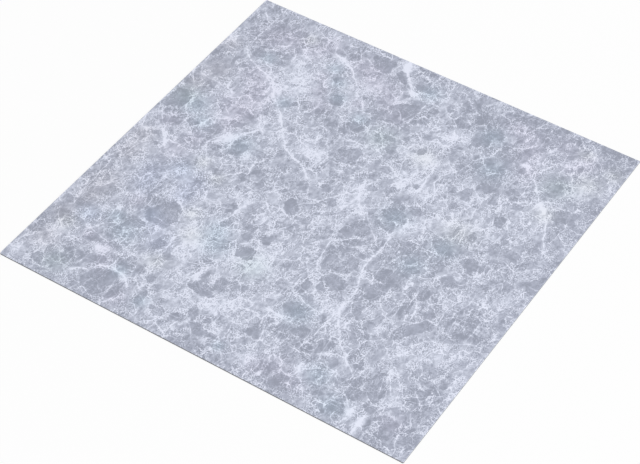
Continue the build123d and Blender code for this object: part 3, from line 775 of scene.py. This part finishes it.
def beyond_slab(place, corners):
    """How far each place is outside a slab's outline, in mm, and less than 0 within it."""
    corners = np.array(corners, float)
    near = np.full(len(place), np.inf)
    inside = np.zeros(len(place), bool)
    for start, end in zip(corners, np.roll(corners, -1, axis=0)):
        gap, off = from_run(place, start, end)
        near = np.minimum(near, gap)
        crosses = (start[1] > place[:, 1]) != (end[1] > place[:, 1])
        rise = end[1] - start[1] or NEAR
        inside ^= crosses & (off[:, 0] < off[:, 1] * (end[0] - start[0]) / rise)
    return np.where(inside, -near, near)


def clast_fields(place):
    """How far each place is outside the nearest clast or slab, and how deep that one's tone is."""
    kept = (np.full(len(place), FAR), np.zeros(len(place)))
    for seed, (*oval, tone) in enumerate(CLASTS):
        keep_nearest(kept, (beyond_clast(place, *oval, seed), tone))
    for corners, tone in SLABS:
        keep_nearest(kept, (beyond_slab(place, corners), tone))
    return kept


def milk_field(place):
    """How milky each place is, and less than 0 where a wash darkens it."""
    milk = np.zeros(len(place))
    for x, y, width, height, strength in WASHES:
        off = (place - (x, y)) / (width, height)
        milk += WASH_SHARE * strength * np.exp(-PATCH_FALL * (off**2).sum(axis=1))
    for x, y, length, width, turn, strength in MILK:
        along, across = turned(place, x, y, turn)
        milk += strength * np.exp(-PATCH_FALL * ((along / length) ** 2 + (across / width) ** 2))
    return milk


def vein_fields(place):
    """For the nearest vein: how far it is, that with its side's sign, its width and how white."""
    count = len(place)
    kept = (np.full(count, FAR), np.full(count, FAR), np.ones(count), np.zeros(count))
    for points, width, white in VEINS:
        keep_nearest(kept, (*beside(place, smooth_route(points)), width, white))
    return kept


def stain_field(place):
    """The colour that each place is multiplied by, which turns its hue and keeps its brightness."""
    plain = np.array(from_hex(PLAIN_PRINT)[:3])
    stain = np.ones((len(place), 4))
    for code, spots in STAINS.items():
        lean = np.array(from_hex(code)[:3]) / plain
        for x, y, radius in spots:
            off = np.hypot(place[:, 0] - x, place[:, 1] - y) / radius
            stain[:, :3] *= 1 + np.exp(-(off**2))[:, None] * (lean / (lean @ EYE_WEIGHTS) - 1)
    return stain


def paint_print(mesh):
    """Writes the marble's large figures on the tile's points, for the print to read."""
    place = np.empty(len(mesh.vertices) * 3)
    mesh.vertices.foreach_get("co", place)
    place = place.reshape(-1, 3)[:, :2] / MM
    fields = (*clast_fields(place), milk_field(place), *vein_fields(place))
    for name, values in zip(PAINTED, fields):
        mesh.attributes.new(name, "FLOAT", "POINT").data.foreach_set("value", values)
    stain = mesh.attributes.new("stain", "FLOAT_COLOR", "POINT")
    stain.data.foreach_set("color", stain_field(place).ravel())


# The print's grain runs this way from +X, and figures are this much longer along it than across
GRAIN_TURN = math.radians(88)
GRAIN_STRETCH = 1.3
# The bends that the lines and fragments follow, from slow to fine: their size and reach in mm
BENDS = ((22, 8), (5, 2.2), (1.7, 0.7))
NOISE_SPAN = (0.25, 0.75)  # where nearly all values of a noise lie
MIDDLE = 0.5  # of the values of a noise or of a cell
# Each cloud of the print: its size in mm, octaves, their roughness, its lowest and highest value
CLOUDS = {
    "cloud": (11, 2, 0.5, -1, 1),
    "froth": (3.6, 3, 0.6, -1, 1),
    "grain": (0.95, 2, 0.6, -1, 1),
    "patch": (9, 2, 0.5, -0.4, 1.4),
    "spread": (17, 2, 0.5, -0.2, 1.5),
    "rag": (2.2, 2, 0.6, -1, 1),
    "waver": (6, 1, 0.5, -0.6, 0.6),
}
# Each net of pale hairlines: its cells' width and the lines' half width in mm, and the cloud that
# breaks it up
NETS = {"wide": (16, 0.55, "spread"), "coarse": (6.6, 0.45, "patch"), "fine": (2.8, 0.34, "patch")}
# Each run of fine threads: its figures' width in mm, octaves, half width as a share of a noise's
# values, and the cloud that breaks it up
THREADS = {"long": (18, 3, 0.024, "spread"), "short": (4.2, 2, 0.06, "spread")}
DARK_CELLS = (0.62, 0.72)  # a cell of the coarse net is darker as its value goes from one to the other
# A clast's rim, in mm: how far it is torn and bitten, and where its cover starts and is full
RIM_TEAR = 0.8
RIM_BITE = 2.6
RIM_FADE = (0.35, -0.4)
CLAST_COVER = 0.86  # the most that a clast hides of the matrix
# The pale line along part of the rim: how far outside it lies, and its half width, in mm
SEAM_OFF = 0.4
SEAM_WIDTH = 0.8
# The grit shows where the patches are: its strength is this many times their value, and this more
GRIT_PATCHES = (1.5, -0.05)
# The tone of the matrix and of the clasts, and how far each layer lightens it, or darkens it where
# less than 0. The last layers run over both
MATRIX_TONE = 0.462
MATRIX_SHARES = {
    "cloud": 0.11, "froth": 0.26, "grit": 0.52, "fragment": -0.15, "milk": 0.41, "wide": 0.20,
    "coarse": 0.22, "fine": 0.30, "rim": 0.28, "long": 0.18, "short": -0.26,
}
CLAST_TONE = 0.10
CLAST_SHARES = {"cloud": 0.10, "froth": 0.12, "grit": 0.25}
SHARES_OVER_BOTH = {"wide": 0.28, "coarse": 0.22, "long": 0.28}
# A vein: between which gaps in mm it comes in, how far the froth changes its strength and from
# what, and the share of its width where it is whitest
VEIN_SIGHT = (4.5, 2.5)
VEIN_BREAK = (0.5, 0.75)
VEIN_CORE = 0.15
# Its milky margin and its white line: how wide each is as a share, and how far it lightens
VEIN_MARGIN = (1.8, 0.18)
VEIN_LINE = (0.42, 0.5)
# The tone at which each colour of the look stands
LADDER = {"deep": 0.05, "clast": 0.28, "ground": 0.52, "pale": 0.75, "vein": 1.0}


def set_stops(ramp, stops):
    """Gives a colour ramp these stops, each a place and a colour, for its own two."""
    own = ramp.color_ramp.elements
    own.remove(own[1])
    own[0].position, own[0].color = stops[0]
    for position, colour in stops[1:]:
        own.new(position).color = colour


def bend_place(tree, place):
    """The place on the print, pushed about by slow bends and torn by fine ones."""
    bent = place
    for size, reach in BENDS:
        swirl = add(
            tree, "ShaderNodeTexNoise", {"Vector": place, "Scale": 1 / size}, noise_dimensions="2D",
        )
        swirl = add(
            tree, "ShaderNodeVectorMath", {0: swirl.outputs["Color"], 1: (MIDDLE, MIDDLE, MIDDLE)},
            operation="SUBTRACT",
        )
        bent = add(
            tree, "ShaderNodeVectorMath", {0: swirl, 1: (reach, reach, 0), 2: bent},
            operation="MULTIPLY_ADD",
        )
    return bent


def cloud_layers(tree, place):
    """The clouds, each a noise brought to its own lowest and highest value."""
    layers = {}
    for name, (size, octaves, rough, low, high) in CLOUDS.items():
        noise = add(
            tree, "ShaderNodeTexNoise",
            {"Vector": place, "Scale": 1 / size, "Detail": octaves, "Roughness": rough},
            noise_dimensions="2D",
        )
        layers[name] = add(
            tree, "ShaderNodeMapRange",
            {"Value": noise, "From Min": NOISE_SPAN[0], "From Max": NOISE_SPAN[1],
             "To Min": low, "To Max": high},
        )
    return layers


def hairline_layers(tree, bent, layers):
    """The pale nets between cells and the threads where a noise is midway, broken by clouds."""
    gaps = {}
    for name, (size, width, cloud) in NETS.items():
        border = add(
            tree, "ShaderNodeTexVoronoi", {"Vector": bent, "Scale": 1 / size},
            voronoi_dimensions="2D", feature="DISTANCE_TO_EDGE",
        )
        gaps[name] = (border, width / size, cloud)
    for name, (size, octaves, width, cloud) in THREADS.items():
        strand = add(
            tree, "ShaderNodeTexNoise",
            {"Vector": bent, "Scale": 1 / size, "Detail": octaves, "Roughness": 0.5},
            noise_dimensions="2D",
        )
        strand = add(tree, "ShaderNodeMath", {0: strand, 1: MIDDLE}, operation="SUBTRACT")
        strand = add(tree, "ShaderNodeMath", {0: strand}, operation="ABSOLUTE")
        gaps[name] = (strand, width, cloud)
    lines = {}
    for name, (gap, width, cloud) in gaps.items():
        line = add(
            tree, "ShaderNodeMapRange", {"Value": gap, "From Min": width, "From Max": 0.0},
            interpolation_type="SMOOTHSTEP",
        )
        lines[name] = add(
            tree, "ShaderNodeMath", {0: line, 1: layers[cloud]}, operation="MULTIPLY", use_clamp=True,
        )
    return lines


def clast_layers(tree, bent, layers):
    """The darker cells, the clasts' cover over the matrix, and the pale line along part of each
    ragged rim."""
    cell = add(
        tree, "ShaderNodeTexVoronoi", {"Vector": bent, "Scale": 1 / NETS["coarse"][0]},
        voronoi_dimensions="2D",
    )
    cell = add(tree, "ShaderNodeSeparateColor", {0: cell.outputs["Color"]})
    fragment = add(
        tree, "ShaderNodeMapRange",
        {"Value": cell.outputs["Red"], "From Min": DARK_CELLS[0], "From Max": DARK_CELLS[1]},
    )
    rim = add(
        tree, "ShaderNodeMath", {0: layers["rag"], 1: RIM_TEAR, 2: layers["clast_gap"]},
        operation="MULTIPLY_ADD",
    )
    bite = add(tree, "ShaderNodeMath", {0: cell.outputs["Green"], 1: MIDDLE}, operation="SUBTRACT")
    rim = add(tree, "ShaderNodeMath", {0: bite, 1: RIM_BITE, 2: rim}, operation="MULTIPLY_ADD")
    inside = add(
        tree, "ShaderNodeMapRange", {"Value": rim, "From Min": RIM_FADE[0], "From Max": RIM_FADE[1]},
        interpolation_type="SMOOTHSTEP",
    )
    full = add(tree, "ShaderNodeMath", {0: layers["clast_depth"], 1: CLAST_COVER}, operation="MULTIPLY")
    seam = add(tree, "ShaderNodeMath", {0: rim, 1: SEAM_OFF}, operation="SUBTRACT")
    seam = add(tree, "ShaderNodeMath", {0: seam}, operation="ABSOLUTE")
    seam = add(
        tree, "ShaderNodeMapRange", {"Value": seam, "From Min": SEAM_WIDTH, "From Max": 0.0},
        interpolation_type="SMOOTHSTEP",
    )
    return {
        "fragment": fragment,
        "cover": add(tree, "ShaderNodeMath", {0: inside, 1: full}, operation="MULTIPLY"),
        "rim": add(
            tree, "ShaderNodeMath", {0: seam, 1: layers["patch"]}, operation="MULTIPLY", use_clamp=True,
        ),
    }


def lay_over(tree, tone, shares, layers):
    """The tone after each layer has lightened or darkened it by its share."""
    for name, share in shares.items():
        tone = add(
            tree, "ShaderNodeMath", {0: layers[name], 1: share, 2: tone}, operation="MULTIPLY_ADD",
        )
    return tone


def lay_veins(tree, tone, layers):
    """The tone with the veins over it. They waver a little about their routes, are broken here
    and there, and have a milky margin."""
    off = add(tree, "ShaderNodeMath", {0: layers["vein_side"], 1: layers["waver"]}, operation="ADD")
    off = add(tree, "ShaderNodeMath", {0: off}, operation="ABSOLUTE")
    off = add(tree, "ShaderNodeMath", {0: off, 1: layers["vein_width"]}, operation="DIVIDE")
    here = add(
        tree, "ShaderNodeMapRange",
        {"Value": layers["vein_near"], "From Min": VEIN_SIGHT[0], "From Max": VEIN_SIGHT[1]},
    )
    here = add(tree, "ShaderNodeMath", {0: here, 1: layers["vein_white"]}, operation="MULTIPLY")
    broken = add(
        tree, "ShaderNodeMath", {0: layers["froth"], 1: VEIN_BREAK[0], 2: VEIN_BREAK[1]},
        operation="MULTIPLY_ADD", use_clamp=True,
    )
    for (reach, share), strength in ((VEIN_MARGIN, here), (VEIN_LINE, broken)):
        across = add(
            tree, "ShaderNodeMapRange", {"Value": off, "From Min": reach, "From Max": VEIN_CORE},
            interpolation_type="SMOOTHSTEP",
        )
        across = add(tree, "ShaderNodeMath", {0: across, 1: here}, operation="MULTIPLY")
        across = add(tree, "ShaderNodeMath", {0: across, 1: strength}, operation="MULTIPLY")
        tone = add(tree, "ShaderNodeMath", {0: across, 1: share, 2: tone}, operation="MULTIPLY_ADD")
    return tone


def marble_colour(tree, look):
    """The printed marble: large figures from the painted fields, fine ones from noise and cracks."""
    place = add(tree, "ShaderNodeTexCoord").outputs["Object"]
    place = add(tree, "ShaderNodeVectorMath", {0: place, "Scale": 1 / MM}, operation="SCALE")
    stretch = (GRAIN_STRETCH**0.5, GRAIN_STRETCH**-0.5, 1)
    place = add(
        tree, "ShaderNodeMapping", {"Vector": place, "Rotation": (0, 0, GRAIN_TURN), "Scale": stretch},
        vector_type="TEXTURE",
    )
    bent = bend_place(tree, place)
    layers = cloud_layers(tree, place)
    for name in PAINTED:
        layers[name] = add(tree, "ShaderNodeAttribute", attribute_name=name).outputs["Fac"]
    layers |= hairline_layers(tree, bent, layers)
    layers |= clast_layers(tree, bent, layers)
    lively = add(
        tree, "ShaderNodeMath", {0: layers["patch"], 1: GRIT_PATCHES[0], 2: GRIT_PATCHES[1]},
        operation="MULTIPLY_ADD", use_clamp=True,
    )
    layers["grit"] = add(tree, "ShaderNodeMath", {0: layers["grain"], 1: lively}, operation="MULTIPLY")

    matrix = lay_over(tree, MATRIX_TONE, MATRIX_SHARES, layers)
    clast = lay_over(tree, CLAST_TONE, CLAST_SHARES, layers)
    tone = add(tree, "ShaderNodeMix", {0: layers["cover"], 2: matrix, 3: clast}, data_type="FLOAT")
    tone = lay_over(tree, tone, SHARES_OVER_BOTH, layers)
    tone = lay_veins(tree, tone, layers)
    ladder = add(tree, "ShaderNodeValToRGB", {0: tone})
    set_stops(ladder, [(position, getattr(look, name)) for name, position in LADDER.items()])
    stain = add(tree, "ShaderNodeAttribute", attribute_name="stain").outputs["Color"]
    return add(
        tree, "ShaderNodeMix", {0: 1.0, 6: ladder, 7: stain}, data_type="RGBA", blend_type="MULTIPLY",
    )


def start_material(name):
    """An empty material of that name: its tree and its output's surface socket."""
    material = bpy.data.materials.new(name)
    material.use_nodes = True
    material.node_tree.nodes.clear()
    output = add(material.node_tree, "ShaderNodeOutputMaterial")
    return material, material.node_tree, output.inputs["Surface"]


# The grain of the calender roll is about 0.4 mm, drawn at 0.9 mm so that it shows
FILM_GRAIN = 0.9 * MM
FILM_SMEAR = 18 * MM
FILM_ROUGHNESS = (0.42, 0.56)


def printed_film(look):
    """Printed PVC film under a clear, calendered polyurethane wear layer: the print reads deep
    and even, with a quiet satin gloss that a fine leathery grain breaks up."""
    material, tree, surface = start_material("printed_film_under_satin_wear_layer")
    place = add(tree, "ShaderNodeTexCoord").outputs["Object"]
    grain = add(tree, "ShaderNodeTexNoise", {"Vector": place, "Scale": 1 / FILM_GRAIN, "Detail": 2.0})
    bump = add(tree, "ShaderNodeBump", {"Height": grain, "Strength": 0.35, "Distance": 0.02 * MM})
    smear = add(tree, "ShaderNodeTexNoise", {"Vector": place, "Scale": 1 / FILM_SMEAR, "Detail": 3.0})
    rough = add(
        tree, "ShaderNodeMapRange",
        {"Value": smear, "To Min": FILM_ROUGHNESS[0], "To Max": FILM_ROUGHNESS[1]},
    )
    shader = add(
        tree, "ShaderNodeBsdfPrincipled",
        {"Base Color": marble_colour(tree, look), "Roughness": rough, "IOR": 1.5, "Normal": bump},
    )
    tree.links.new(shader.outputs[0], surface)
    return material


CORE_GRIT = 0.25 * MM
SHEAR_MARKS = 0.5 * MM
SHEAR_STRETCH = (1, 1, 0.12)  # draws the marks out upright
# Up the punched side, as a share of its height, how much of the film's pale colour shows: none in
# the core, a thin line for the film, and a trace in the clear layer over it
FILM_LINE = ((0.74, 0.0), (0.76, 0.45), (0.80, 0.45), (0.82, 0.1))


def punched_core(look, sizes):
    """Limestone filled PVC, punched: a matt grey with pale grit and upright shear marks, and near
    its top the printed film as a thin pale line under the clear layer."""
    material, tree, surface = start_material("punched_edge_of_filled_pvc")
    place = add(tree, "ShaderNodeTexCoord").outputs["Object"]
    grit = add(tree, "ShaderNodeTexNoise", {"Vector": place, "Scale": 1 / CORE_GRIT, "Detail": 3.0})
    upright = add(tree, "ShaderNodeMapping", {"Vector": place, "Scale": SHEAR_STRETCH})
    marks = add(tree, "ShaderNodeTexNoise", {"Vector": upright, "Scale": 1 / SHEAR_MARKS, "Detail": 2.0})
    tone = add(
        tree, "ShaderNodeMapRange",
        {"Value": grit, "From Min": 0.3, "From Max": 0.7, "To Min": 0.86, "To Max": 1.14},
    )
    core = add(
        tree, "ShaderNodeMix", {0: 1.0, 6: look.core, 7: tone}, data_type="RGBA", blend_type="MULTIPLY",
    )
    height = add(tree, "ShaderNodeSeparateXYZ", {0: place}).outputs["Z"]
    height = add(tree, "ShaderNodeMapRange", {"Value": height, "From Max": sizes.thickness})
    share = add(tree, "ShaderNodeValToRGB", {0: height})
    set_stops(share, [(position, (grey, grey, grey, 1)) for position, grey in FILM_LINE])
    colour = add(tree, "ShaderNodeMix", {0: share, 6: core, 7: look.pale}, data_type="RGBA")
    bump = add(tree, "ShaderNodeBump", {"Height": marks, "Strength": 0.6, "Distance": 0.03 * MM})
    shader = add(
        tree, "ShaderNodeBsdfPrincipled",
        {"Base Color": colour, "Roughness": 0.72, "IOR": 1.52, "Normal": bump},
    )
    tree.links.new(shader.outputs[0], surface)
    return material


BACK_CLOUDS = 30 * MM
BACK_GRIT = 0.8 * MM
BACK_GRAIN = 1.4 * MM


def calendered_back(look):
    """The bare back of the filled PVC: matt grey, faintly clouded, with a fine pressed grain
    that holds the adhesive."""
    material, tree, surface = start_material("calendered_back_of_filled_pvc")
    place = add(tree, "ShaderNodeTexCoord").outputs["Object"]
    clouds = add(tree, "ShaderNodeTexNoise", {"Vector": place, "Scale": 1 / BACK_CLOUDS, "Detail": 4.0})
    grit = add(tree, "ShaderNodeTexNoise", {"Vector": place, "Scale": 1 / BACK_GRIT, "Detail": 2.0})
    both = add(tree, "ShaderNodeMath", {0: clouds, 1: 0.5, 2: grit}, operation="MULTIPLY_ADD")
    tone = add(
        tree, "ShaderNodeMapRange",
        {"Value": both, "From Min": 0.5, "From Max": 1.0, "To Min": 0.9, "To Max": 1.1},
    )
    colour = add(
        tree, "ShaderNodeMix", {0: 1.0, 6: look.back, 7: tone}, data_type="RGBA", blend_type="MULTIPLY",
    )
    grain = add(
        tree, "ShaderNodeTexVoronoi", {"Vector": place, "Scale": 1 / BACK_GRAIN}, feature="SMOOTH_F1",
    )
    bump = add(tree, "ShaderNodeBump", {"Height": grain, "Strength": 0.5, "Distance": 0.05 * MM})
    shader = add(
        tree, "ShaderNodeBsdfPrincipled",
        {"Base Color": colour, "Roughness": 0.78, "IOR": 1.52, "Normal": bump},
    )
    tree.links.new(shader.outputs[0], surface)
    return material


class MESH_OT_vinyl_tile(bpy.types.Operator):
    """Punches the tile, presses its relief, and gives it its printed face, sides and back"""

    bl_idname = "mesh.vinyl_tile_add"
    bl_label = "Vinyl Floor Tile"

    def execute(self, context):
        sizes = context.scene.tile_sizes
        look = context.scene.tile_look
        blank = punch_blank(sizes)
        calender_face(blank, sizes)
        share_faces(blank)
        lay_map(blank.data, sizes)
        paint_print(blank.data)
        for material in (printed_film(look), punched_core(look, sizes), calendered_back(look)):
            blank.data.materials.append(material)
        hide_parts("tile")
        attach(blank, "root")
        return {"FINISHED"}


CAMERA_PLACE = Vector((506.4, -795.7, 958.8)) * MM
CAMERA_AIM = Vector((8.96, -22.66, 1.28)) * MM
SENSOR_WIDTH = 36  # mm
KEY_PLACE = Vector((4.4, 0.5, 4.0))
KEY_SIZE = 3.0
FLOOR_SIZE = 12.0
FLOOR_DROP = 0.02 * MM  # keeps the floor clear of the tile's back
FLOOR_WHITE = 0.9  # how much of the floor that the camera sees is plain white
WHITE = (1, 1, 1, 1)


def plain_floor(settings):
    """A white floor that meets the camera as plain white and keeps a share of the tile's shadow."""
    material, tree, surface = start_material("white_paper_floor")
    paths = add(tree, "ShaderNodeLightPath").outputs
    seen = paths["Is Camera Ray"]
    for ray in ("Is Glossy Ray", "Is Transmission Ray"):
        seen = add(tree, "ShaderNodeMath", {0: seen, 1: paths[ray]}, operation="MAXIMUM")
    share = add(tree, "ShaderNodeMath", {0: seen, 1: FLOOR_WHITE}, operation="MULTIPLY")
    paper = add(tree, "ShaderNodeBsdfDiffuse", {"Color": settings.floor})
    glow = add(tree, "ShaderNodeEmission", {"Color": WHITE, "Strength": 1.0})
    mixed = add(tree, "ShaderNodeMixShader", {0: share, 1: paper, 2: glow})
    tree.links.new(mixed.outputs[0], surface)
    return material


def light_surround(scene, settings):
    """Even light from all round, which the camera sees as plain white."""
    world = bpy.data.worlds.new("soft_surround")
    world.use_nodes = True
    tree = world.node_tree
    tree.nodes.clear()
    seen = add(tree, "ShaderNodeLightPath").outputs["Is Camera Ray"]
    strength = add(tree, "ShaderNodeMapRange", {"Value": seen, "To Min": settings.sky, "To Max": 1.0})
    light = add(tree, "ShaderNodeBackground", {"Color": WHITE, "Strength": strength})
    add(tree, "ShaderNodeOutputWorld", {"Surface": light})
    scene.world = world


class SCENE_OT_tile_stage(bpy.types.Operator):
    """Lays the plain floor, hangs the soft light and stands the camera where the picture was taken"""

    bl_idname = "scene.tile_stage_add"
    bl_label = "Stage"

    def execute(self, context):
        scene = context.scene
        settings = scene.tile_stage
        bpy.ops.object.select_all(action="DESELECT")
        bpy.ops.mesh.primitive_plane_add(size=FLOOR_SIZE, location=(0, 0, -FLOOR_DROP))
        floor = context.object
        floor.name = "floor"
        floor.data.materials.append(plain_floor(settings))

        facing = (Vector() - KEY_PLACE).to_track_quat("-Z", "Y").to_euler()
        bpy.ops.object.light_add(type="AREA", location=KEY_PLACE, rotation=facing)
        key = context.object
        key.name = "key_softbox"
        key.data.size = KEY_SIZE
        key.data.energy = settings.key
        light_surround(scene, settings)

        aim = (CAMERA_AIM - CAMERA_PLACE).to_track_quat("-Z", "Y").to_matrix()
        leaned = aim @ Matrix.Rotation(settings.roll, 3, "Z")
        bpy.ops.object.camera_add(location=CAMERA_PLACE, rotation=leaned.to_euler())
        camera = context.object
        camera.data.lens = settings.focal
        camera.data.sensor_width = SENSOR_WIDTH
        scene.camera = camera
        scene.view_settings.view_transform = "Standard"
        return {"FINISHED"}


class VIEW3D_PT_vinyl_tile(bpy.types.Panel):
    """The tile's sizes and colours, and the buttons that make it"""

    bl_label = "Vinyl Floor Tile"
    bl_space_type = "VIEW_3D"
    bl_region_type = "UI"
    bl_category = "Floor Tile"

    def draw(self, context):
        for group, operator in ((context.scene.tile_sizes, None),
                                (context.scene.tile_look, MESH_OT_vinyl_tile),
                                (context.scene.tile_stage, SCENE_OT_tile_stage)):
            column = self.layout.column()
            for name in group.__annotations__:
                column.prop(group, name)
            if operator:
                column.operator(operator.bl_idname)


CLASSES = (
    TileSizes,
    TileLook,
    StageSettings,
    MESH_OT_vinyl_tile,
    SCENE_OT_tile_stage,
    VIEW3D_PT_vinyl_tile,
)


def register():
    for item in CLASSES:
        bpy.utils.register_class(item)
    bpy.types.Scene.tile_sizes = bpy.props.PointerProperty(type=TileSizes)
    bpy.types.Scene.tile_look = bpy.props.PointerProperty(type=TileLook)
    bpy.types.Scene.tile_stage = bpy.props.PointerProperty(type=StageSettings)


def unregister():
    del bpy.types.Scene.tile_stage
    del bpy.types.Scene.tile_look
    del bpy.types.Scene.tile_sizes
    for item in reversed(CLASSES):
        bpy.utils.unregister_class(item)


def main():
    register()
    bpy.ops.mesh.vinyl_tile_add()
    bpy.ops.scene.tile_stage_add()


if __name__ == "__main__":
    main()
